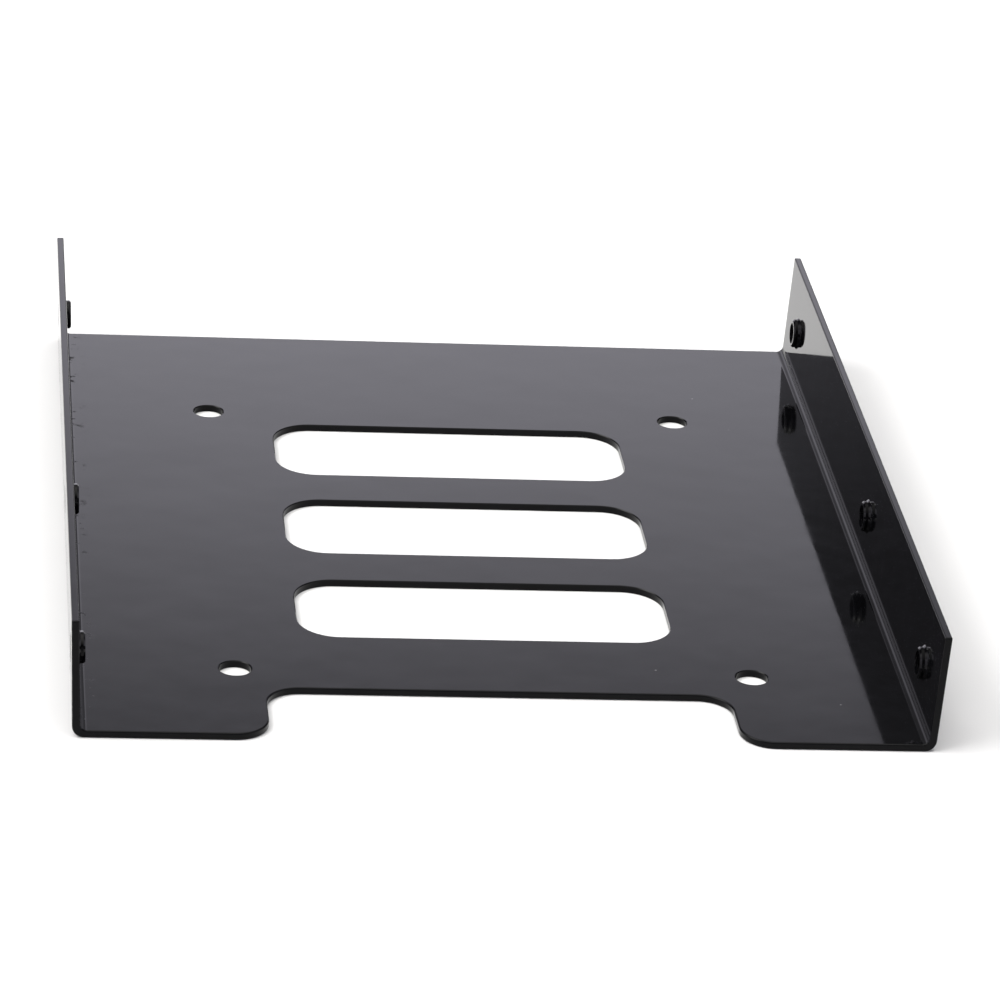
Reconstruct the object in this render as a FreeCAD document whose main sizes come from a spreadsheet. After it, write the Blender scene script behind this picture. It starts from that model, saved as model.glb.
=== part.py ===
"""Drive bay adapter bracket: one sheet of steel, punched, burred and folded into a shallow tray.

The frame has +X across the bracket, +Y to its back and +Z up. Its origin is at the middle of the
underside, so the bracket rests on the plane Z = 0. Lengths are in millimetres, the lean in degrees.
"""

import FreeCAD
import Part
import math
import os
import Sketcher

# Driving dimensions
SIZES = [
    ("sheet_thickness", 0.9, "thickness of the painted sheet"),
    ("base_width", 100.6, "across the outer faces, where they meet the underside"),
    ("wall_height", 14.8, "underside to the outer rim of a side wall"),
    ("wall_lean", 2.0, "how far a side wall springs back outwards, in degrees"),
    ("bend_radius", 0.5, "inside radius of both folds"),
    ("notch_width", 55.0, "cut-out in the front edge, side to side"),
    ("notch_depth", 12.1, "cut-out in the front edge, front to back"),
    ("notch_corner", 4.0, "radius of the cut-out's inner and outer corners"),
    ("slot_length", 45.5, "window across the plate, side to side"),
    ("slot_width", 16.0, "window, front to back"),
    ("slot_corner", 5.0, "radius of a window's corners"),
    ("first_slot", 26.1, "front edge of the bracket to the first window"),
    ("slot_pitch", 23.9, "from one window to the next"),
    ("slot_count", 3, "number of windows"),
    ("screw_span_across", 61.72, "small drive's screw holes, side to side"),
    ("screw_span_along", 76.6, "small drive's screw holes, front to back"),
    ("front_screw_row", 17.1, "front edge of the bracket to the first row of screw holes"),
    ("screw_hole", 3.9, "diameter of a screw hole in the plate"),
    ("front_collar", 8.9, "front edge of the bracket to the first tapped collar"),
    ("collar_step_front", 41.6, "first tapped collar to the second"),
    ("collar_step_back", 60.0, "second tapped collar to the third"),
    ("back_margin", 8.9, "third tapped collar to the back edge"),
    ("collar_rise", 6.35, "face of the plate to the axis of a collar"),
    ("collar_outside", 3.8, "outer diameter of a collar"),
    ("collar_length", 0.8, "how far a collar stands in from its wall"),
    ("collar_root", 0.25, "slope where a collar leaves the wall"),
    ("collar_rim", 0.2, "bevel round the end of a collar"),
    ("tap_bore", 2.8, "bore of a collar, across the crests of its thread"),
    ("bore_mouth", 0.4, "funnel where the sheet was drawn into a collar"),
    ("edge_softness", 0.2, "radius of the sheet's deburred and painted outline"),
    ("rim_break", 0.1, "bevel on the upper rims of windows and screw holes"),
    ("cut_overrun", 3.0, "how far a cutter runs past the metal"),
    ("bracket_depth", "=front_collar + collar_step_front + collar_step_back + back_margin",
     "front edge to back edge"),
]

COLLAR_ROWS = {
    "front": "sizes.front_collar",
    "middle": "sizes.front_collar + sizes.collar_step_front",
    "back": "sizes.front_collar + sizes.collar_step_front + sizes.collar_step_back",
}

ORIGIN_POINT = (-1, 1)

doc = FreeCAD.newDocument("drive_bay_bracket")


def make_sheet():
    """Writes the driving dimensions into the document's table."""
    sheet = doc.addObject("Spreadsheet::Sheet", "sizes")
    for row, (alias, value, meaning) in enumerate(SIZES, start=1):
        sheet.set(f"A{row}", alias)
        sheet.set(f"B{row}", str(value))
        sheet.set(f"C{row}", meaning)
        sheet.setAlias(f"B{row}", alias)
    doc.recompute()
    return sheet


sizes = make_sheet()
body = doc.addObject("PartDesign::Body", "bracket")
body.Label = "drive_bay_bracket"


def origin_plane(role):
    """One of the body's own reference planes."""
    return next(item for item in body.Origin.OriginFeatures if item.Role == role)


def attach(item, plane):
    """Lays a sketch or a plane on a plane of the body."""
    item.AttachmentSupport = [(plane, "")]
    item.MapMode = "FlatFace"


def bind(item, bindings):
    """Ties properties of an object to expressions on the table."""
    for name, expression in bindings.items():
        item.setExpression(name, expression)


class Outline:
    """A sketch on one plane, with helpers for its lines, arcs and driving dimensions."""

    def __init__(self, name, plane):
        self.sketch = body.newObject("Sketcher::SketchObject", name)
        attach(self.sketch, plane)

    def line(self, start, end, construction=False):
        """Adds a straight edge and returns its index."""
        segment = Part.LineSegment(FreeCAD.Vector(*start, 0), FreeCAD.Vector(*end, 0))
        return self.sketch.addGeometry(segment, construction)

    def arc(self, centre, radius, first, last):
        """Adds an arc that runs anticlockwise between two angles in degrees."""
        circle = Part.Circle(FreeCAD.Vector(*centre, 0), FreeCAD.Vector(0, 0, 1), radius)
        edge = Part.ArcOfCircle(circle, math.radians(first), math.radians(last))
        return self.sketch.addGeometry(edge, False)

    def circle(self, centre, radius):
        """Adds a full circle."""
        edge = Part.Circle(FreeCAD.Vector(*centre, 0), FreeCAD.Vector(0, 0, 1), radius)
        return self.sketch.addGeometry(edge, False)

    def point(self, place):
        """Adds a construction point."""
        return self.sketch.addGeometry(Part.Point(FreeCAD.Vector(*place, 0)), True)

    def rule(self, *terms):
        """Adds a geometric constraint."""
        return self.sketch.addConstraint(Sketcher.Constraint(*terms))

    def mirrored(self, *ends):
        """Holds two points at equal distances on either side of the sketch's upright axis."""
        return self.rule("Symmetric", *ends, -2)

    def on_across_axis(self, *end):
        """Holds a point on the sketch's own level axis."""
        return self.rule("PointOnObject", *end, -1)

    def size(self, name, expression, *terms):
        """Adds a dimension and ties it to the table."""
        self.sketch.renameConstraint(self.rule(*terms), name)
        self.sketch.setExpression(f"Constraints.{name}", expression)


def wall_section():
    """Section across the bracket: base, two folds and two leaning walls of one thickness."""
    thickness = sizes.sheet_thickness
    lean = math.radians(sizes.wall_lean)
    inner, outer = sizes.bend_radius, sizes.bend_radius + thickness
    along = (math.sin(lean), math.cos(lean))
    outward = (math.cos(lean), -math.sin(lean))
    corner = sizes.base_width / 2
    fold = (corner - (outer - outer * math.sin(lean)) / math.cos(lean), outer)
    foot = (fold[0] + outer * outward[0], fold[1] + outer * outward[1])
    rise = (sizes.wall_height - foot[1]) / along[1]
    rim = (foot[0] + rise * along[0], sizes.wall_height)
    inner_rim = (rim[0] - thickness * outward[0], rim[1] - thickness * outward[1])
    inner_foot = (fold[0] + inner * outward[0], fold[1] + inner * outward[1])

    def left(place):
        return (-place[0], place[1])

    draw = Outline("wall_section", origin_plane("XZ_Plane"))
    underside = draw.line((-fold[0], 0), (fold[0], 0))
    face = draw.line((-fold[0], thickness), (fold[0], thickness))

    bend_out = draw.arc(fold, outer, -90, -sizes.wall_lean)
    wall_out = draw.line(foot, rim)
    top = draw.line(rim, inner_rim)
    wall_in = draw.line(inner_rim, inner_foot)
    bend_in = draw.arc(fold, inner, -90, -sizes.wall_lean)
    draw.rule("Tangent", underside, 2, bend_out, 1)
    draw.rule("Tangent", bend_out, 2, wall_out, 1)
    draw.rule("Coincident", wall_out, 2, top, 1)
    draw.rule("Coincident", top, 2, wall_in, 1)
    draw.rule("Tangent", wall_in, 2, bend_in, 2)
    draw.rule("Tangent", bend_in, 1, face, 2)
    draw.rule("Coincident", bend_out, 3, bend_in, 3)
    draw.rule("Perpendicular", wall_out, top)
    draw.rule("Perpendicular", top, wall_in)

    bend_out_left = draw.arc(left(fold), outer, 180 + sizes.wall_lean, 270)
    wall_out_left = draw.line(left(foot), left(rim))
    top_left = draw.line(left(rim), left(inner_rim))
    wall_in_left = draw.line(left(inner_rim), left(inner_foot))
    bend_in_left = draw.arc(left(fold), inner, 180 + sizes.wall_lean, 270)
    draw.mirrored(underside, 1, underside, 2)
    draw.mirrored(face, 1, face, 2)
    draw.rule("Coincident", bend_out_left, 2, underside, 1)
    draw.rule("Coincident", bend_out_left, 1, wall_out_left, 1)
    draw.rule("Coincident", wall_out_left, 2, top_left, 1)
    draw.rule("Coincident", top_left, 2, wall_in_left, 1)
    draw.rule("Coincident", wall_in_left, 2, bend_in_left, 1)
    draw.rule("Coincident", bend_in_left, 2, face, 1)
    draw.mirrored(bend_out_left, 1, bend_out, 2)
    draw.mirrored(wall_out_left, 2, wall_out, 2)
    draw.mirrored(top_left, 2, top, 2)
    draw.mirrored(bend_in_left, 1, bend_in, 2)
    draw.rule("Equal", bend_out_left, bend_out)
    draw.rule("Equal", bend_in_left, bend_in)

    virtual = draw.point((corner, 0))
    draw.on_across_axis(underside, 2)
    draw.on_across_axis(virtual, 1)
    draw.rule("PointOnObject", virtual, 1, wall_out)
    draw.size("half_width", "sizes.base_width / 2", "DistanceX", *ORIGIN_POINT, virtual, 1, corner)
    draw.size("height", "sizes.wall_height", "DistanceY", *ORIGIN_POINT, wall_out, 2, rim[1])
    draw.size("bend", "sizes.bend_radius", "Radius", bend_in, inner)
    draw.size("thickness", "sizes.sheet_thickness", "Distance", top, thickness)
    draw.size("lean", "(90 - sizes.wall_lean) * 1 deg", "Angle", wall_out, math.pi / 2 - lean)
    return draw.sketch


def folded_sheet():
    """The folded blank, as long as the bracket is deep."""
    pad = body.newObject("PartDesign::Pad", "folded_sheet")
    pad.Profile = wall_section()
    pad.SideType = "Symmetric"
    bind(pad, {"Length": "sizes.bracket_depth"})
    return pad


def through_cut(name, sketch):
    """Punches an outline through the plate, whichever side of it the sketch lies on."""
    cut = body.newObject("PartDesign::Pocket", name)
    cut.Profile = sketch
    cut.SideType = "Symmetric"
    bind(cut, {"Length": "2 * (sizes.sheet_thickness + sizes.cut_overrun)"})
    return cut


def rounded_outline(draw, half_width, front, back, radius, round_front=True):
    """Draws an upright symmetric rectangle with its back corners, or all four, rounded."""
    right = half_width - radius
    back_edge = draw.line((right, back), (-right, back))
    back_left = draw.arc((-right, back - radius), radius, 90, 180)
    back_right = draw.arc((right, back - radius), radius, 0, 90)
    lowest = front + radius if round_front else front
    left_edge = draw.line((-half_width, back - radius), (-half_width, lowest))
    right_edge = draw.line((half_width, lowest), (half_width, back - radius))
    draw.rule("Tangent", right_edge, 2, back_right, 1)
    draw.rule("Tangent", back_right, 2, back_edge, 1)
    draw.rule("Tangent", back_edge, 2, back_left, 1)
    draw.rule("Tangent", back_left, 2, left_edge, 1)
    draw.rule("Equal", back_left, back_right)
    draw.rule("Vertical", left_edge)
    draw.mirrored(back_edge, 2, back_edge, 1)
    if round_front:
        front_left = draw.arc((-right, front + radius), radius, 180, 270)
        front_right = draw.arc((right, front + radius), radius, 270, 360)
        front_edge = draw.line((-right, front), (right, front))
        draw.rule("Tangent", left_edge, 2, front_left, 1)
        draw.rule("Tangent", front_left, 2, front_edge, 1)
        draw.rule("Tangent", front_edge, 2, front_right, 1)
        draw.rule("Tangent", front_right, 2, right_edge, 1)
        draw.rule("Equal", back_left, front_left)
    else:
        front_edge = draw.line((-half_width, front), (half_width, front))
        draw.rule("Coincident", left_edge, 2, front_edge, 1)
        draw.rule("Coincident", front_edge, 2, right_edge, 1)
        draw.rule("Horizontal", front_edge)
    return {"back": back_edge, "front": front_edge, "right": right_edge, "corner": back_right}


def front_notch():
    """The wide cut-out in the front edge, with rounded inner corners."""
    front = -sizes.bracket_depth / 2 - sizes.cut_overrun
    back = -sizes.bracket_depth / 2 + sizes.notch_depth
    draw = Outline("notch_outline", origin_plane("XY_Plane"))
    half_width = sizes.notch_width / 2
    edges = rounded_outline(draw, half_width, front, back, sizes.notch_corner, False)
    draw.size("half_width", "sizes.notch_width / 2",
              "DistanceX", *ORIGIN_POINT, edges["right"], 2, half_width)
    draw.size("corner", "sizes.notch_corner", "Radius", edges["corner"], sizes.notch_corner)
    draw.size("back", "sizes.bracket_depth / 2 - sizes.notch_depth",
              "DistanceY", edges["back"], 1, *ORIGIN_POINT, -back)
    draw.size("front", "sizes.bracket_depth / 2 + sizes.cut_overrun",
              "DistanceY", edges["front"], 1, *ORIGIN_POINT, -front)
    return through_cut("front_notch", draw.sketch)


def windows():
    """The row of wide windows, punched at one pitch from front to back."""
    front = -sizes.bracket_depth / 2 + sizes.first_slot
    back = front + sizes.slot_width
    draw = Outline("window_outline", origin_plane("XY_Plane"))
    half_length = sizes.slot_length / 2
    edges = rounded_outline(draw, half_length, front, back, sizes.slot_corner)
    draw.size("half_length", "sizes.slot_length / 2",
              "DistanceX", *ORIGIN_POINT, edges["right"], 2, half_length)
    draw.size("corner", "sizes.slot_corner", "Radius", edges["corner"], sizes.slot_corner)
    draw.size("front", "sizes.bracket_depth / 2 - sizes.first_slot",
              "DistanceY", edges["front"], 1, *ORIGIN_POINT, -front)
    draw.size("width", "sizes.slot_width",
              "DistanceY", edges["front"], 1, edges["back"], 2, sizes.slot_width)
    first = through_cut("first_window", draw.sketch)

    row = body.newObject("PartDesign::LinearPattern", "window_row")
    row.Originals = [first]
    row.Direction = (next(a for a in body.Origin.OriginFeatures if a.Role == "Y_Axis"), [""])
    row.Mode = "Spacing"
    bind(row, {"Offset": "sizes.slot_pitch", "Occurrences": "sizes.slot_count"})
    body.Tip = row
    return row


def screw_holes():
    """The four plain holes that take the small drive's screws."""
    half = sizes.screw_span_across / 2
    front = -sizes.bracket_depth / 2 + sizes.front_screw_row
    back = front + sizes.screw_span_along
    radius = sizes.screw_hole / 2
    draw = Outline("screw_hole_centres", origin_plane("XY_Plane"))
    front_right = draw.circle((half, front), radius)
    front_left = draw.circle((-half, front), radius)
    back_right = draw.circle((half, back), radius)
    back_left = draw.circle((-half, back), radius)
    draw.mirrored(front_left, 3, front_right, 3)
    draw.mirrored(back_left, 3, back_right, 3)
    draw.rule("Vertical", front_right, 3, back_right, 3)
    for other in (front_left, back_right, back_left):
        draw.rule("Equal", front_right, other)
    draw.size("half_across", "sizes.screw_span_across / 2",
              "DistanceX", *ORIGIN_POINT, front_right, 3, half)
    draw.size("front", "sizes.bracket_depth / 2 - sizes.front_screw_row",
              "DistanceY", front_right, 3, *ORIGIN_POINT, -front)
    draw.size("along", "sizes.screw_span_along",
              "DistanceY", front_right, 3, back_right, 3, sizes.screw_span_along)
    draw.size("hole", "sizes.screw_hole", "Diameter", front_right, sizes.screw_hole)
    return through_cut("screw_holes", draw.sketch)


def adjacent_faces(shape, edge):
    """The faces that meet at an edge."""
    return shape.ancestorsOfType(edge, Part.Face)


def is_sharp(shape, edge):
    """Whether two faces meet at an edge nearly square, as the punch leaves them."""
    middle = edge.valueAt((edge.FirstParameter + edge.LastParameter) / 2)
    normals = [face.normalAt(*face.Surface.parameter(middle)) for face in adjacent_faces(shape, edge)]
    return len(normals) == 2 and abs(normals[0].dot(normals[1])) < math.cos(math.radians(60))


def edge_names(shape, wanted):
    """Names of the edges of a shape that a test picks out."""
    return [f"Edge{index}" for index, edge in enumerate(shape.Edges, start=1) if wanted(edge)]


def round_edges(name, base, wanted, radius):
    """Rounds the edges of a feature that a test picks out."""
    fillet = body.newObject("PartDesign::Fillet", name)
    fillet.Base = (base, edge_names(base.Shape, wanted))
    bind(fillet, {"Radius": radius})
    body.Tip = fillet
    doc.recompute()
    return fillet


def notch_shoulders(base):
    """Rounds the two upright edges where the cut-out opens into the front edge."""
    front = -sizes.bracket_depth / 2
    side = sizes.notch_width / 2

    def wanted(edge):
        ends = [vertex.Point for vertex in edge.Vertexes]
        on_corner = all(math.hypot(abs(p.x) - side, p.y - front) < 1e-4 for p in ends)
        return len(ends) == 2 and on_corner

    return round_edges("notch_shoulders", base, wanted, "sizes.notch_corner")


def wall_plane():
    """A plane on the inner face of the right wall, at the height of the collars' axes."""
    plane = body.newObject("PartDesign::Plane", "right_wall_face")
    attach(plane, origin_plane("YZ_Plane"))
    rise = "(sizes.sheet_thickness + sizes.collar_rise)"
    plane.AttachmentOffset = FreeCAD.Placement(
        FreeCAD.Vector(0, 0, 0), FreeCAD.Rotation(FreeCAD.Vector(1, 0, 0), sizes.wall_lean))
    bind(plane, {
        ".AttachmentOffset.Base.x": "-sizes.bracket_depth / 2",
        ".AttachmentOffset.Base.y": rise,
        ".AttachmentOffset.Base.z": f"sizes.base_width / 2 + {rise} * tan(sizes.wall_lean * 1 deg)"
                                    " - sizes.sheet_thickness / cos(sizes.wall_lean * 1 deg)",
        ".AttachmentOffset.Rotation.Angle": "sizes.wall_lean * 1 deg",
    })
    doc.recompute()
    return plane


def collar_circles(name, plane, alias):
    """Three circles of one diameter on the wall, at the big drive's uneven spacing."""
    draw = Outline(name, plane)
    place = 0.0
    steps = (sizes.front_collar, sizes.collar_step_front, sizes.collar_step_back)
    diameter = getattr(sizes, alias)
    first = None
    for (row, expression), step in zip(COLLAR_ROWS.items(), steps):
        place += step
        ring = draw.circle((place, 0), diameter / 2)
        draw.on_across_axis(ring, 3)
        draw.size(row, expression, "DistanceX", *ORIGIN_POINT, ring, 3, place)
        if first is None:
            first = ring
            draw.size("across", f"sizes.{alias}", "Diameter", ring, diameter)
        else:
            draw.rule("Equal", first, ring)
    return draw.sketch


def collars():
    """Burred collars on both walls, drawn inwards and bored for their thread."""
    plane = wall_plane()
    pad = body.newObject("PartDesign::Pad", "collars")
    pad.Profile = collar_circles("collar_outlines", plane, "collar_outside")
    pad.Reversed = True
    bind(pad, {"Length": "sizes.collar_length"})

    bore = body.newObject("PartDesign::Pocket", "collar_bores")
    bore.Profile = collar_circles("bore_outlines", plane, "tap_bore")
    bore.SideType = "Symmetric"
    bind(bore, {"Length": "2 * (sizes.sheet_thickness + sizes.collar_length + sizes.cut_overrun)"})
    doc.recompute()

    mirror = body.newObject("PartDesign::Mirrored", "left_collars")
    mirror.Originals = [pad, bore]
    mirror.MirrorPlane = (origin_plane("YZ_Plane"), [""])
    body.Tip = mirror
    doc.recompute()
    return mirror


def ring_edge(edge, diameter):
    """Whether an edge is a circle of one diameter that stands in a side wall."""
    if not isinstance(edge.Curve, Part.Circle):
        return False
    upright = abs(edge.Curve.Axis.x) > math.cos(math.radians(45))
    return upright and abs(edge.Curve.Radius - diameter / 2) < 1e-4


def wall_depth(edge):
    """How far the middle of a ring lies inside the outer face of its wall."""
    lean = math.radians(sizes.wall_lean)
    middle = edge.Curve.Center
    outer_face = sizes.base_width / 2 + middle.z * math.tan(lean)
    return (outer_face - abs(middle.x)) * math.cos(lean)


def break_edges(name, base, wanted, size):
    """Bevels the edges of a feature that a test picks out."""
    chamfer = body.newObject("PartDesign::Chamfer", name)
    chamfer.Base = (base, edge_names(base.Shape, wanted))
    bind(chamfer, {"Size": size})
    body.Tip = chamfer
    doc.recompute()
    return chamfer


def collar_roots(base):
    """Slopes the inner corner where each collar leaves its wall."""
    def wanted(edge):
        at_wall = ring_edge(edge, sizes.collar_outside)
        return at_wall and abs(wall_depth(edge) - sizes.sheet_thickness) < 1e-4

    return break_edges("collar_roots", base, wanted, "sizes.collar_root")


def collar_rims(base):
    """Bevels the outer rim at the end of each collar, which the drawing leaves rounded."""
    end = sizes.sheet_thickness + sizes.collar_length

    def wanted(edge):
        return ring_edge(edge, sizes.collar_outside) and abs(wall_depth(edge) - end) < 1e-4

    return break_edges("collar_rims", base, wanted, "sizes.collar_rim")


def bore_mouths(base):
    """Opens the outer mouth of each bore into a funnel, where the sheet was drawn inwards."""
    def wanted(edge):
        return ring_edge(edge, sizes.tap_bore) and abs(wall_depth(edge)) < 1e-4

    return break_edges("bore_mouths", base, wanted, "sizes.bore_mouth")


def inner_outline(shape, edge):
    """Whether an edge bounds an opening in a flat face."""
    flat = [face for face in adjacent_faces(shape, edge) if isinstance(face.Surface, Part.Plane)]
    openings = [wire for face in flat for wire in face.Wires if not wire.isSame(face.OuterWire)]
    return any(rim.isSame(edge) for wire in openings for rim in wire.Edges)


def soft_outline(base):
    """Rounds the sheared outline of the sheet, as deburring and paint leave it."""
    def wanted(edge):
        return is_sharp(base.Shape, edge) and not inner_outline(base.Shape, edge)

    return round_edges("soft_outline", base, wanted, "sizes.edge_softness")


def broken_rims(base):
    """Bevels the upper rims of the windows and screw holes."""
    def wanted(edge):
        on_top = edge.BoundBox.ZMax > sizes.sheet_thickness / 2
        return on_top and is_sharp(base.Shape, edge) and not ring_edge(edge, sizes.tap_bore)

    return break_edges("broken_rims", base, wanted, "sizes.rim_break")


def check_document():
    """Stops if a feature failed or the solid isn't sound."""
    for item in doc.Objects:
        if "Invalid" in item.State or "Error" in item.State:
            raise RuntimeError(f"{item.Name} failed: {item.State}")
    shape = body.Shape
    if shape.isNull() or not shape.isValid() or len(shape.Solids) != 1:
        raise RuntimeError(f"{body.Label} is not one sound solid")


def report_cut(name, before, after):
    """Stops if a step that takes metal away took none."""
    print(f"{name}: {before:.1f} to {after:.1f} mm3")
    if not after < before:
        raise RuntimeError(f"{name} cut nothing")


def build():
    """Makes the bracket in the order of its own making: blank, punching, burring, folds, paint."""
    steps = [folded_sheet()]
    doc.recompute()
    for make in (front_notch, windows, screw_holes):
        before = body.Shape.Volume
        steps.append(make())
        doc.recompute()
        report_cut(make.__name__, before, body.Shape.Volume)
    steps.append(notch_shoulders(steps[-1]))
    steps.append(collars())
    for make in (collar_roots, collar_rims, bore_mouths, soft_outline, broken_rims):
        steps.append(make(steps[-1]))
    doc.recompute()
    check_document()


build()
os.makedirs("parts", exist_ok=True)
body.Shape.exportStep(f"parts/{body.Label}.step")
box = body.Shape.BoundBox
print(f"{body.Label}: {box.XLength:.2f} x {box.YLength:.2f} x {box.ZLength:.2f} mm, "
      f"{body.Shape.Volume:.1f} mm3, {len(body.Shape.Faces)} faces")
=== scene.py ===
"""Studio scene of a drive bay adapter bracket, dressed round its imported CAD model.

The bracket is one folded sheet of steel with a baked black enamel. The scene welds a copy of the
CAD sheet, cuts the screw threads into its six collars, lets the enamel gather in its folds, paints
it, and sets it on a pale floor in front of a wide soft backdrop. Everything is in metres, in the
frame of the CAD model.
"""

import logging
import math
from dataclasses import dataclass, field
from enum import Enum
from functools import cached_property
from typing import Any, Iterator

import bmesh
import bpy
from mathutils import Euler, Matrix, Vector


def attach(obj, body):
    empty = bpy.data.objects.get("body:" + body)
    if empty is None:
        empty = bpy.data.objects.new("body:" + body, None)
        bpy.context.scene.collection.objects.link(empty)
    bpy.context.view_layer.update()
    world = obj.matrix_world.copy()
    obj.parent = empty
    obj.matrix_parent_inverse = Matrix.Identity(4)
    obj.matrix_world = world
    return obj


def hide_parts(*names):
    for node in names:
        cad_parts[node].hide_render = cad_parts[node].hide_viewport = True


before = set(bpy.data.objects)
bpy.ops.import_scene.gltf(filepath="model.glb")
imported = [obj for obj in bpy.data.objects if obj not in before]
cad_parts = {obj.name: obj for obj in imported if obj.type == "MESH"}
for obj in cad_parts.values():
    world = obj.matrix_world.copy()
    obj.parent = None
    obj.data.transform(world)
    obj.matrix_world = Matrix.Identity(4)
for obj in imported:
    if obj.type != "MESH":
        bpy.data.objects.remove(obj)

MM = 0.001
SHEET_NODE = "drive_bay_bracket"
BODY = "root"

# The layer and the values that Blender's own face strength uses, which the normals modifier reads.
STRENGTH_LAYER = "__mod_weightednormals_faceweight"
STRONG_FACE = 16384
WEAK_FACE = -16384

log = logging.getLogger("bracket")


def linear(hex_colour: str) -> tuple[float, float, float, float]:
    """Turns an sRGB hex colour into the linear colour that a shader socket takes.

    Args:
        hex_colour: Six hex digits, red, green and blue.

    Returns:
        Linear red, green, blue and an alpha of one.
    """
    channels = []
    for start in (0, 2, 4):
        value = int(hex_colour[start:start + 2], 16) / 255
        channels.append(value / 12.92 if value <= 0.04045 else ((value + 0.055) / 1.055) ** 2.4)
    return (channels[0], channels[1], channels[2], 1.0)


def add_node(
    tree: bpy.types.NodeTree,
    kind: str,
    settings: dict[str, Any] | None = None,
    inputs: dict[str | int, Any] | None = None,
) -> bpy.types.Node:
    """Adds a node to a tree, gives it its settings and fills or links its inputs.

    Args:
        tree: The node tree that gets the node.
        kind: Blender's name of the node type.
        settings: Properties of the node itself.
        inputs: Values by input name or index; an output socket is linked instead of set.

    Returns:
        The new node.
    """
    node = tree.nodes.new(kind)
    for name, value in (settings or {}).items():
        setattr(node, name, value)
    for name, value in (inputs or {}).items():
        if isinstance(value, bpy.types.NodeSocket):
            tree.links.new(value, node.inputs[name])
        else:
            node.inputs[name].default_value = value
    return node


def empty_material(name: str) -> bpy.types.Material:
    """Makes a node material with nothing in its tree yet.

    Args:
        name: What the material is called.

    Returns:
        The new material.
    """
    material = bpy.data.materials.new(name)
    material.use_nodes = True
    material.node_tree.nodes.clear()
    return material


class Side(Enum):
    """The two side walls, by the sign of their X."""

    RIGHT = 1
    LEFT = -1


@dataclass(frozen=True)
class Relief:
    """One layer of bumps: their spacing, their depth and how many finer ones they carry."""

    spacing_mm: float
    depth_mm: float
    detail: float = 1.0


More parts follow.
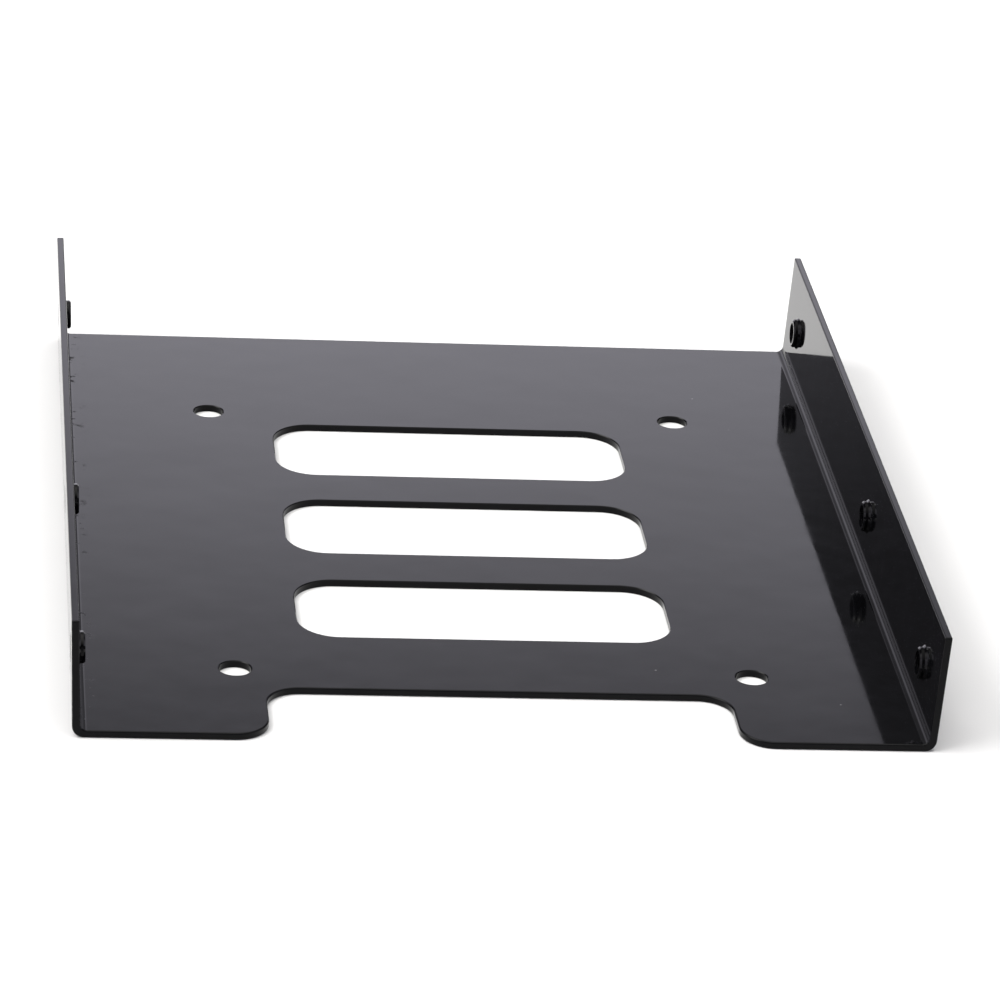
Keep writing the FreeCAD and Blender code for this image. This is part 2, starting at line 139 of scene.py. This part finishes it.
@dataclass(frozen=True)
class BakedEnamel:
    """Black baked enamel on steel: dipped, hard, smooth and glossy, with a faint orange peel.

    Attributes:
        colour: The film where it is thickest.
        colour_light: The film where it is thinnest.
        mottle_mm: Size of the patches between the two.
        mottle_span: Stretch of the mottle over which the colour changes.
        roughness: Middle of the film's roughness, as on a gloss enamel.
        roughness_swing: How far the roughness strays from that.
        gloss_span: Stretch of the mottle over which the roughness changes.
        mirror: Strength of the mirror image, for a film with an index of about 1.4.
        mirror_tint: How much of it is left when the film is seen straight on.
        relief: The sheet's slow waves, which cloud what it mirrors, then orange peel about a
            millimetre wide, then a grit as fine as the pigment clumps.
        speck_colour: Colour of the dust.
        speck_spacing_mm: Distance between specks in the block that the sheet is cut from.
        speck_radius_mm: Radius of a speck.
        speck_core: Share of that radius that is fully pale.
        nick_mm: Size of the chips along the foot of the left wall.
        nick_span: Stretch of their noise from no chip to a whole one.
        nick_strip_mm: Across the sheet, where the chips start and where all of them show.
        nick_top_mm: Upwards, where the chips end and below which all of them show.
        nick_roughness: Roughness that a whole chip adds.
    """

    colour: str = "050506"
    colour_light: str = "08080a"
    mottle_mm: float = 2.4
    mottle_span: tuple[float, float] = (0.35, 0.65)
    roughness: float = 0.065
    roughness_swing: float = 0.02
    gloss_span: tuple[float, float] = (0.3, 0.7)
    mirror: float = 0.3
    mirror_tint: str = "959595"
    relief: tuple[Relief, ...] = (
        Relief(14.0, 0.02, detail=2.0), Relief(1.1, 0.0006), Relief(0.16, 0.0002))
    speck_colour: str = "505050"
    speck_spacing_mm: float = 8.0
    speck_radius_mm: float = 0.16
    speck_core: float = 0.7
    nick_mm: float = 1.3
    nick_span: tuple[float, float] = (0.6, 0.68)
    nick_strip_mm: tuple[float, float] = (-46.6, -48.6)
    nick_top_mm: tuple[float, float] = (2.4, 1.6)
    nick_roughness: float = 0.45

    def tone(
        self,
        tree: bpy.types.NodeTree,
        place: bpy.types.NodeSocket,
        mottle: bpy.types.NodeSocket,
    ) -> bpy.types.NodeSocket:
        """Colours the film, a touch thicker here and thinner there, with a few specks of dust.

        Args:
            tree: The material's node tree.
            place: Where on the piece the shader stands.
            mottle: How thin the film is.

        Returns:
            The film's colour.
        """
        film = add_node(tree, "ShaderNodeValToRGB", {}, {"Fac": mottle})
        for element, position, colour in zip(
                film.color_ramp.elements, self.mottle_span, (self.colour, self.colour_light)):
            element.position = position
            element.color = linear(colour)
        dust = add_node(tree, "ShaderNodeTexVoronoi", {}, {
            "Vector": place, "Scale": 1 / (self.speck_spacing_mm * MM)})
        radius = self.speck_radius_mm / self.speck_spacing_mm
        speck = add_node(tree, "ShaderNodeMapRange", {}, {
            "Value": dust.outputs["Distance"], "From Min": radius,
            "From Max": radius * self.speck_core})
        # Inputs 6 and 7 and output 2 are the ones that a mix of colours uses.
        dusted = add_node(tree, "ShaderNodeMix", {"data_type": "RGBA"}, {
            "Factor": speck.outputs["Result"], 6: film.outputs["Color"],
            7: linear(self.speck_colour)})
        return dusted.outputs[2]

    def gloss(
        self,
        tree: bpy.types.NodeTree,
        place: bpy.types.NodeSocket,
        mottle: bpy.types.NodeSocket,
    ) -> bpy.types.NodeSocket:
        """Varies the gloss a little, and dulls it in small chips where the left wall gets knocked.

        Args:
            tree: The material's node tree.
            place: Where on the piece the shader stands.
            mottle: How thin the film is.

        Returns:
            The film's roughness.
        """
        sheen = add_node(tree, "ShaderNodeMapRange", {}, {
            "Value": mottle, "From Min": self.gloss_span[0], "From Max": self.gloss_span[1],
            "To Min": self.roughness - self.roughness_swing,
            "To Max": self.roughness + self.roughness_swing})
        chips = add_node(tree, "ShaderNodeTexNoise", {}, {
            "Vector": place, "Scale": 1 / (self.nick_mm * MM), "Detail": 2.0})
        nick = add_node(tree, "ShaderNodeMapRange", {}, {
            "Value": chips.outputs["Fac"], "From Min": self.nick_span[0],
            "From Max": self.nick_span[1], "To Max": self.nick_roughness}).outputs["Result"]
        parts = add_node(tree, "ShaderNodeSeparateXYZ", {}, {"Vector": place}).outputs
        for along, (start, full) in (("X", self.nick_strip_mm), ("Z", self.nick_top_mm)):
            limit = add_node(tree, "ShaderNodeMapRange", {}, {
                "Value": parts[along], "From Min": start * MM, "From Max": full * MM})
            nick = add_node(tree, "ShaderNodeMath", {"operation": "MULTIPLY"}, {
                0: nick, 1: limit.outputs["Result"]}).outputs["Value"]
        return add_node(tree, "ShaderNodeMath", {"operation": "ADD"}, {
            0: sheen.outputs["Result"], 1: nick}).outputs["Value"]

    def surface(
        self, tree: bpy.types.NodeTree, place: bpy.types.NodeSocket
    ) -> bpy.types.NodeSocket:
        """Lays the film's waves, orange peel and grit over each other.

        Args:
            tree: The material's node tree.
            place: Where on the piece the shader stands.

        Returns:
            The film's normal.
        """
        normal: dict[str, bpy.types.NodeSocket] = {}
        for layer in self.relief:
            noise = add_node(tree, "ShaderNodeTexNoise", {}, {
                "Vector": place, "Scale": 1 / (layer.spacing_mm * MM), "Detail": layer.detail})
            bump = add_node(tree, "ShaderNodeBump", {}, {
                "Height": noise.outputs["Fac"], "Distance": layer.depth_mm * MM,
                "Strength": 1.0, **normal})
            normal = {"Normal": bump.outputs["Normal"]}
        return normal["Normal"]

    def material(self) -> bpy.types.Material:
        """Builds the enamel.

        Returns:
            A material that reads Object coordinates.
        """
        material = empty_material("black_baked_enamel")
        tree = material.node_tree
        place = add_node(tree, "ShaderNodeTexCoord").outputs["Object"]
        mottle = add_node(tree, "ShaderNodeTexNoise", {}, {
            "Vector": place, "Scale": 1 / (self.mottle_mm * MM), "Detail": 3.0,
            "Roughness": 0.6}).outputs["Fac"]
        # Straight on the film mirrors little, so cut edges stay black; along it, it mirrors a lot.
        enamel = add_node(tree, "ShaderNodeBsdfPrincipled", {}, {
            "Base Color": self.tone(tree, place, mottle),
            "Roughness": self.gloss(tree, place, mottle),
            "Specular IOR Level": self.mirror, "Specular Tint": linear(self.mirror_tint),
            "Normal": self.surface(tree, place)})
        add_node(tree, "ShaderNodeOutputMaterial", {}, {"Surface": enamel.outputs["BSDF"]})
        return material


@dataclass(frozen=True)
class SeamlessPaper:
    """Matt white background paper that the bracket lies on, with a fine tooth."""

    colour: str = "e0e0e0"
    roughness: float = 0.9
    mirror: float = 0.1
    tooth: Relief = Relief(0.5, 0.01, detail=2.0)

    def material(self) -> bpy.types.Material:
        """Builds the paper.

        Returns:
            A material that reads Object coordinates.
        """
        material = empty_material("white_background_paper")
        tree = material.node_tree
        place = add_node(tree, "ShaderNodeTexCoord").outputs["Object"]
        tooth = add_node(tree, "ShaderNodeTexNoise", {}, {
            "Vector": place, "Scale": 1 / (self.tooth.spacing_mm * MM),
            "Detail": self.tooth.detail})
        surface = add_node(tree, "ShaderNodeBump", {}, {
            "Height": tooth.outputs["Fac"], "Distance": self.tooth.depth_mm * MM})
        paper = add_node(tree, "ShaderNodeBsdfPrincipled", {}, {
            "Base Color": linear(self.colour), "Roughness": self.roughness,
            "Specular IOR Level": self.mirror, "Normal": surface.outputs["Normal"]})
        add_node(tree, "ShaderNodeOutputMaterial", {}, {"Surface": paper.outputs["BSDF"]})
        return material


@dataclass(frozen=True)
class ScrewThread:
    """A coarse inch thread, cut into a bore that already has the width of its crests.

    Attributes:
        crest_radius: Radius of the bore.
        root_radius: Radius at the bottom of the groove.
        pitch: Length of one turn, 32 to the inch.
        root_flat: Width of the groove's flat bottom, as a share of the pitch.
        flank_angle: Slope of the groove's sides, in degrees.
        run_out: Length over which the groove fades at both ends.
        rings: Cuts along the bore, about nine to a turn.
    """

    crest_radius: float = 1.4 * MM
    root_radius: float = 1.7525 * MM
    pitch: float = 0.79375 * MM
    root_flat: float = 1 / 8
    flank_angle: float = 30.0
    run_out: float = 0.14 * MM
    rings: int = 44

    def depth(self, along: float, turn: float, length: float) -> float:
        """Depth of the groove at one place of the bore.

        Args:
            along: Distance from the outer end of the bore.
            turn: Angle round the bore, as a share of a full turn.
            length: Length of the bore.

        Returns:
            How far the groove goes into the metal, zero on a crest and at both ends.
        """
        phase = (along / self.pitch - turn) % 1.0
        off_root = max(abs(phase - 0.5) - self.root_flat / 2, 0.0) * self.pitch
        full = self.root_radius - self.crest_radius
        groove = max(full - off_root / math.tan(math.radians(self.flank_angle)), 0.0)
        edge = min(along, length - along) / self.run_out
        fade = min(max(edge, 0.0), 1.0)
        return groove * fade * fade * (3 - 2 * fade)


@dataclass(frozen=True)
class SheetForm:
    """Sizes of the folded sheet, the same as the CAD source has.

    Attributes:
        depth: From the front edge to the back edge.
        base_width: Over the walls' outer faces, at the underside.
        thickness: Of the sheet.
        lean: How far both walls lean out, in radians.
        bend_radius: Inside radius of both folds.
        edge_softness: Rounding of the sheet's outline.
        collar_rise: Height of the collars' axes over the plate.
        collar_stand: How far the collars stand in from the walls.
        funnel: Depth of the lead-in on the outside.
        collar_rows: Distances of the collars from the front edge.
    """

    depth: float = 119.4 * MM
    base_width: float = 100.6 * MM
    thickness: float = 0.9 * MM
    lean: float = math.radians(2.0)
    bend_radius: float = 0.5 * MM
    edge_softness: float = 0.2 * MM
    collar_rise: float = 6.35 * MM
    collar_stand: float = 0.8 * MM
    funnel: float = 0.4 * MM
    collar_rows: tuple[float, ...] = (8.9 * MM, 50.5 * MM, 110.5 * MM)

    def outward(self, side: Side) -> Vector:
        """Unit vector out of the bracket, square to one side wall."""
        return Vector((side.value * math.cos(self.lean), 0.0, -math.sin(self.lean)))

    def inner_face(self, height: float) -> float:
        """How far a wall's inner face stands from the middle of the bracket at one height."""
        outer_face = self.base_width / 2 + height * math.tan(self.lean)
        return outer_face - self.thickness / math.cos(self.lean)

    def fold_centre(self, radius: float) -> tuple[float, float]:
        """Distance from the middle and height of the centre of a fold with one inside radius."""
        height = self.thickness + radius
        return self.inner_face(height) - radius / math.cos(self.lean), height

    def flat_directions(self) -> list[Vector]:
        """Lists the directions that the sheet's flat faces point in.

        Returns:
            One unit vector for each pair of opposite directions.
        """
        directions = [Vector((1.0, 0.0, 0.0)), Vector((0.0, 1.0, 0.0)), Vector((0.0, 0.0, 1.0))]
        for side in Side:
            outward = self.outward(side)
            directions += [outward, outward.cross(Vector((0.0, 1.0, 0.0)))]
        return directions


@dataclass(frozen=True)
class Collar:
    """One tapped collar: its wall and how far it stands from the bracket's front edge."""

    form: SheetForm
    side: Side
    row: float

    @cached_property
    def outward(self) -> Vector:
        """Unit vector along the axis, out of the bracket."""
        return self.form.outward(self.side)

    @cached_property
    def mouth(self) -> Vector:
        """Finds where the straight bore starts, at the bottom of the lead-in.

        Returns:
            A point on the collar's axis.
        """
        form = self.form
        height = form.thickness + form.collar_rise
        across = self.side.value * form.inner_face(height)
        axis = Vector((across, self.row - form.depth / 2, height))
        return axis + self.outward * (form.thickness - form.funnel)

    @cached_property
    def bore_length(self) -> float:
        """Length of the straight bore."""
        return self.form.thickness - self.form.funnel + self.form.collar_stand


@dataclass
class FoldedSheet:
    """The bracket itself: a welded copy of the CAD sheet with its threads cut.

    Attributes:
        form: Sizes of the sheet.
        thread: The thread in its collars.
        finish: Its paint.
        pool_radius: Inside radius of both folds under the enamel that gathers there.
        weld: Vertices closer than this become one.
        near: How far a vertex may lie off a surface that it counts as on.
        coplanar: Faces that differ by less than this angle become one, in degrees.
        crease: Edges that turn by more than this angle stay sharp, in degrees.
        flatness: How far a flat face may turn from its direction, in degrees.
    """

    form: SheetForm = field(default_factory=SheetForm)
    thread: ScrewThread = field(default_factory=ScrewThread)
    finish: BakedEnamel = field(default_factory=BakedEnamel)
    pool_radius: float = 0.9 * MM
    weld: float = 0.004 * MM
    near: float = 0.02 * MM
    coplanar: float = 0.2
    crease: float = 30.0
    flatness: float = 0.5

    def collars(self) -> Iterator[Collar]:
        """Goes through the six collars, right wall first and front to back.

        Yields:
            One collar after another.
        """
        for side in Side:
            for row in self.form.collar_rows:
                yield Collar(self.form, side, row)

    def on_bore(self, vertex: bmesh.types.BMVert, collar: Collar) -> bool:
        """Whether a vertex lies on the bore of a collar.

        Args:
            vertex: A vertex of the welded sheet.
            collar: The collar in question.

        Returns:
            True for a vertex on the bore's wall or on either of its end rings.
        """
        reach = vertex.co - collar.mouth
        along = -reach.dot(collar.outward)
        radius = (reach + collar.outward * along).length
        in_span = -self.near < along < collar.bore_length + self.near
        return in_span and abs(radius - self.thread.crest_radius) < self.near

    def cut_thread(self, mesh: bmesh.types.BMesh, collar: Collar) -> None:
        """Replaces the plain wall of one bore by a threaded one.

        Args:
            mesh: The welded sheet, changed in place.
            collar: The collar whose bore is cut.
        """
        wall = [face for face in mesh.faces if all(self.on_bore(v, collar) for v in face.verts)]
        bmesh.ops.delete(mesh, geom=wall, context="FACES")
        rims = [edge for edge in mesh.edges
                if edge.is_boundary and all(self.on_bore(v, collar) for v in edge.verts)]
        bridged = bmesh.ops.bridge_loops(mesh, edges=rims)
        lengthwise = [edge for edge in bridged["edges"]
                      if abs((edge.verts[0].co - edge.verts[1].co).dot(collar.outward)) > self.near]
        bmesh.ops.subdivide_edges(
            mesh, edges=lengthwise, cuts=self.thread.rings, use_grid_fill=True)
        across = collar.outward.cross(Vector((0.0, 1.0, 0.0))).normalized()
        for vertex in [v for v in mesh.verts if self.on_bore(v, collar)]:
            reach = vertex.co - collar.mouth
            along = -reach.dot(collar.outward)
            spoke = (reach + collar.outward * along).normalized()
            turn = math.atan2(spoke.y, spoke.dot(across)) / math.tau
            vertex.co += spoke * self.thread.depth(along, turn, collar.bore_length)

    def pool_enamel(self, mesh: bmesh.types.BMesh) -> None:
        """Widens the inside of both folds, where the dipped enamel gathers before it is baked.

        Args:
            mesh: The welded sheet, changed in place.
        """
        form = self.form
        bare_across, bare_height = form.fold_centre(form.bend_radius)
        pool_across, pool_height = form.fold_centre(self.pool_radius)
        quarter = math.pi / 2 - form.lean
        slack = self.near / form.bend_radius
        for vertex in mesh.verts:
            across, drop = abs(vertex.co.x) - bare_across, bare_height - vertex.co.z
            beyond = math.hypot(across, drop) - form.bend_radius
            turn = math.atan2(across, drop)
            on_skin = -self.near < beyond < form.edge_softness + self.near
            if on_skin and -slack < turn < quarter + slack:
                reach = self.pool_radius + beyond
                side = math.copysign(1.0, vertex.co.x)
                vertex.co.x = side * (pool_across + reach * math.sin(turn))
                vertex.co.z = pool_height - reach * math.cos(turn)

    def mark_shading(self, mesh: bmesh.types.BMesh) -> None:
        """Marks creases, and lets flat faces alone decide the shading beside a rounded edge.

        Args:
            mesh: The welded sheet, whose faces get a strength that the normals modifier reads.
        """
        crease = math.radians(self.crease)
        for edge in mesh.edges:
            edge.smooth = edge.calc_face_angle(math.pi) < crease
        strength = mesh.faces.layers.int.new(STRENGTH_LAYER)
        level = math.cos(math.radians(self.flatness))
        directions = self.form.flat_directions()
        for face in mesh.faces:
            flat = any(abs(face.normal.dot(way)) > level for way in directions)
            face[strength] = STRONG_FACE if flat else WEAK_FACE
            face.smooth = True

    def build(self, node: bpy.types.Object) -> bpy.types.Object:
        """Welds a copy of the CAD sheet, threads its bores and paints it.

        Args:
            node: The CAD node that the sheet stands for.

        Returns:
            The finished piece.
        """
        mesh = bmesh.new()
        mesh.from_mesh(node.data)
        bmesh.ops.remove_doubles(mesh, verts=mesh.verts, dist=self.weld)
        bmesh.ops.dissolve_limit(
            mesh, angle_limit=math.radians(self.coplanar), verts=mesh.verts, edges=mesh.edges)
        self.pool_enamel(mesh)
        for collar in self.collars():
            self.cut_thread(mesh, collar)
        bmesh.ops.recalc_face_normals(mesh, faces=mesh.faces)
        self.mark_shading(mesh)
        data = bpy.data.meshes.new("painted_sheet")
        mesh.to_mesh(data)
        mesh.free()
        piece = bpy.data.objects.new("painted_sheet", data)
        bpy.context.scene.collection.objects.link(piece)
        weights = piece.modifiers.new("flat_faces_stay_flat", "WEIGHTED_NORMAL")
        weights.keep_sharp = True
        weights.use_face_influence = True
        weights.weight = 100
        data.materials.append(self.finish.material())
        return piece


@dataclass(frozen=True)
class Camera:
    """The photograph's own viewpoint, found by fitting its edges and holes.

    Attributes:
        place: Where the camera stands.
        turn: Its rotation about X, Y and Z, in degrees.
        lens: Focal length in millimetres.
        sensor: Width of its sensor in millimetres.
        clip: Nearest and furthest distance that it sees.
    """

    place: tuple[float, float, float] = (-67.17 * MM, -577.46 * MM, 263.47 * MM)
    turn: tuple[float, float, float] = (65.931, -3.802, -5.367)
    lens: float = 181.79
    sensor: float = 36.0
    clip: tuple[float, float] = (0.01, 50.0)

    def build(self) -> bpy.types.Object:
        """Sets the camera up and makes it the scene's own.

        Returns:
            The camera.
        """
        data = bpy.data.cameras.new("camera")
        data.lens = self.lens
        data.sensor_fit = "HORIZONTAL"
        data.sensor_width = self.sensor
        data.clip_start, data.clip_end = self.clip
        camera = bpy.data.objects.new("camera", data)
        camera.location = self.place
        camera.rotation_euler = Euler([math.radians(angle) for angle in self.turn])
        bpy.context.scene.collection.objects.link(camera)
        bpy.context.scene.camera = camera
        return camera


@dataclass(frozen=True)
class Patch:
    """A stretch of the surround that is brighter or dimmer than the rest, with soft borders.

    Sides run clockwise from straight behind the bracket and heights up from the horizon, in
    degrees: where the patch begins, where it is full, where it ebbs and where it ends. The change
    is a share of the light that is there without it.
    """

    sides: tuple[float, float, float, float]
    heights: tuple[float, float, float, float]
    change: float


@dataclass(frozen=True)
class Surround:
    """Soft light from all round, by the height and the side that it comes from.

    A bright band behind the bracket runs from the horizon up to some 22 degrees and is what its
    face mirrors. The top of the band dips towards the back left, and the front and both sides of
    the room are dimmer, which keeps the folds and walls dark. Above the band the room is dim, a
    wide soft light hangs overhead, and a large one stands on the left.

    Attributes:
        band_tint: Colour of the band.
        tint: Colour of everything above it.
        band_end: Height where the one gives way to the other, in degrees.
        peak: Light that a full colour of the ramp stands for.
        stops: Heights in degrees, each with its light.
        dip: How far the band's top comes down towards the left, in degrees.
        dip_sides: Sides where it starts to come down and where it is lowest.
        patches: What departs from that.
    """

    band_tint: str = "f5f3ff"
    tint: str = "fffefc"
    band_end: float = 35.0
    peak: float = 4.0
    stops: tuple[tuple[float, float], ...] = (
        (0.0, 1.95), (20.0, 1.95), (22.2, 1.86), (24.0, 1.5), (26.7, 0.72), (29.0, 0.27),
        (42.0, 0.3), (60.0, 1.57), (75.0, 2.95), (90.0, 3.36))
    dip: float = 8.0
    dip_sides: tuple[float, float] = (2.0, -22.0)
    patches: tuple[Patch, ...] = (
        # Behind: a little more light in the plate, a little less at the start of the right fold.
        Patch((0.0, 1.5, 3.0, 13.0), (10.0, 16.0, 30.0, 34.0), 0.15),
        Patch((-7.0, -4.0, -1.5, 1.5), (22.0, 24.0, 30.0, 34.0), -0.1),
        # The room's right side, and its left side with a darker foot.
        Patch((11.0, 17.0, 60.0, 80.0), (-30.0, -20.0, 30.0, 40.0), -0.82),
        Patch((-65.0, -50.0, -35.0, -16.0), (-30.0, -20.0, 30.0, 40.0), -0.9),
        Patch((-50.0, -40.0, -18.0, -10.0), (-30.0, -20.0, 0.0, 10.0), -0.7),
        # The front of the room, in two halves.
        Patch((110.0, 150.0, 180.0, 190.0), (-30.0, -20.0, 35.0, 50.0), -0.6),
        Patch((-190.0, -180.0, -150.0, -110.0), (-30.0, -20.0, 35.0, 50.0), -0.6),
        # The large light on the left, which throws the shadow to the right.
        Patch((-140.0, -115.0, -75.0, -55.0), (12.0, 28.0, 50.0, 62.0), 6.0))

    def colour(
        self,
        tree: bpy.types.NodeTree,
        side: bpy.types.NodeSocket,
        height: bpy.types.NodeSocket,
    ) -> bpy.types.NodeSocket:
        """Colours the band, the dim room above it and the light overhead.

        Args:
            tree: The world's node tree.
            side: Side that the light comes from, in degrees.
            height: Height that it comes from, in degrees.

        Returns:
            The light's colour, as a share of the peak.
        """
        dip = add_node(tree, "ShaderNodeMapRange", {"interpolation_type": "SMOOTHSTEP"}, {
            "Value": side, "From Min": self.dip_sides[0], "From Max": self.dip_sides[1],
            "To Max": self.dip})
        dipped = add_node(tree, "ShaderNodeMath", {"operation": "ADD"}, {
            0: height, 1: dip.outputs["Result"]})
        overhead = self.stops[-1][0]
        share = add_node(tree, "ShaderNodeMath", {"operation": "DIVIDE"}, {
            0: dipped.outputs["Value"], 1: overhead})
        ramp = add_node(tree, "ShaderNodeValToRGB", {}, {"Fac": share.outputs["Value"]})
        elements = ramp.color_ramp.elements
        while len(elements) < len(self.stops):
            elements.new(0.5)
        for element, (angle, value) in zip(elements, self.stops):
            tint = linear(self.band_tint if angle < self.band_end else self.tint)
            element.position = angle / overhead
            element.color = [value / self.peak * channel for channel in tint[:3]] + [1.0]
        return ramp.outputs["Color"]

    def strength(
        self,
        tree: bpy.types.NodeTree,
        side: bpy.types.NodeSocket,
        height: bpy.types.NodeSocket,
    ) -> bpy.types.NodeSocket | float:
        """Scales the light by the patches, each of which fades in and out along both angles.

        Args:
            tree: The world's node tree.
            side: Side that the light comes from, in degrees.
            height: Height that it comes from, in degrees.

        Returns:
            The light's strength.
        """
        strength = self.peak
        for patch in self.patches:
            amount = patch.change
            for angle, (start, full, ebb, end) in ((side, patch.sides), (height, patch.heights)):
                for low, high in ((start, full), (end, ebb)):
                    fade = add_node(
                        tree, "ShaderNodeMapRange", {"interpolation_type": "SMOOTHSTEP"}, {
                            "Value": angle, "From Min": low, "From Max": high})
                    amount = add_node(tree, "ShaderNodeMath", {"operation": "MULTIPLY"}, {
                        0: amount, 1: fade.outputs["Result"]}).outputs["Value"]
            strength = add_node(tree, "ShaderNodeMath", {"operation": "MULTIPLY_ADD"}, {
                0: strength, 1: amount, 2: strength}).outputs["Value"]
        return strength

    def build(self) -> bpy.types.World:
        """Paints the light onto the scene's world.

        Returns:
            The world.
        """
        world = bpy.data.worlds.new("studio")
        bpy.context.scene.world = world
        world.use_nodes = True
        tree = world.node_tree
        tree.nodes.clear()
        way = add_node(tree, "ShaderNodeTexCoord").outputs["Generated"]
        parts = add_node(tree, "ShaderNodeSeparateXYZ", {}, {"Vector": way}).outputs
        turn = add_node(tree, "ShaderNodeMath", {"operation": "ARCTAN2"}, {
            0: parts["X"], 1: parts["Y"]})
        rise = add_node(tree, "ShaderNodeMath", {"operation": "ARCSINE"}, {0: parts["Z"]})
        side, height = (
            add_node(tree, "ShaderNodeMath", {"operation": "DEGREES"}, {0: angle.outputs["Value"]})
            .outputs["Value"] for angle in (turn, rise))
        light = add_node(tree, "ShaderNodeBackground", {}, {
            "Color": self.colour(tree, side, height),
            "Strength": self.strength(tree, side, height)})
        add_node(tree, "ShaderNodeOutputWorld", {}, {"Surface": light.outputs["Background"]})
        return world


@dataclass(frozen=True)
class Studio:
    """Pale floor under the soft surround, seen through a plain view setting."""

    floor_half: float = 3.0
    paper: SeamlessPaper = field(default_factory=SeamlessPaper)
    surround: Surround = field(default_factory=Surround)

    def floor(self) -> bpy.types.Object:
        """Lays the paper just under the bracket's underside.

        Returns:
            The floor.
        """
        mesh = bmesh.new()
        bmesh.ops.create_grid(mesh, x_segments=1, y_segments=1, size=self.floor_half)
        data = bpy.data.meshes.new("floor")
        mesh.to_mesh(data)
        mesh.free()
        floor = bpy.data.objects.new("floor", data)
        bpy.context.scene.collection.objects.link(floor)
        data.materials.append(self.paper.material())
        return floor

    def build(self) -> None:
        """Lays the floor, lights it and keeps the picture's tones plain."""
        self.floor()
        self.surround.build()
        view = bpy.context.scene.view_settings
        view.view_transform = "Standard"
        view.look = "None"
        view.exposure = 0.0
        view.gamma = 1.0


def main() -> None:
    """Builds the camera, the sheet and the studio, in that order, and logs how many faces the sheet
    has.
    """
    logging.basicConfig(level=logging.INFO, format="%(name)s: %(message)s")
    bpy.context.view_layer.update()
    Camera().build()
    log.info("camera set")
    sheet = FoldedSheet().build(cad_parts[SHEET_NODE])
    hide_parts(SHEET_NODE)
    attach(sheet, BODY)
    log.info("%s: %d faces", sheet.name, len(sheet.data.polygons))
    Studio().build()
    log.info("studio lit")


if __name__ == "__main__":
    main()
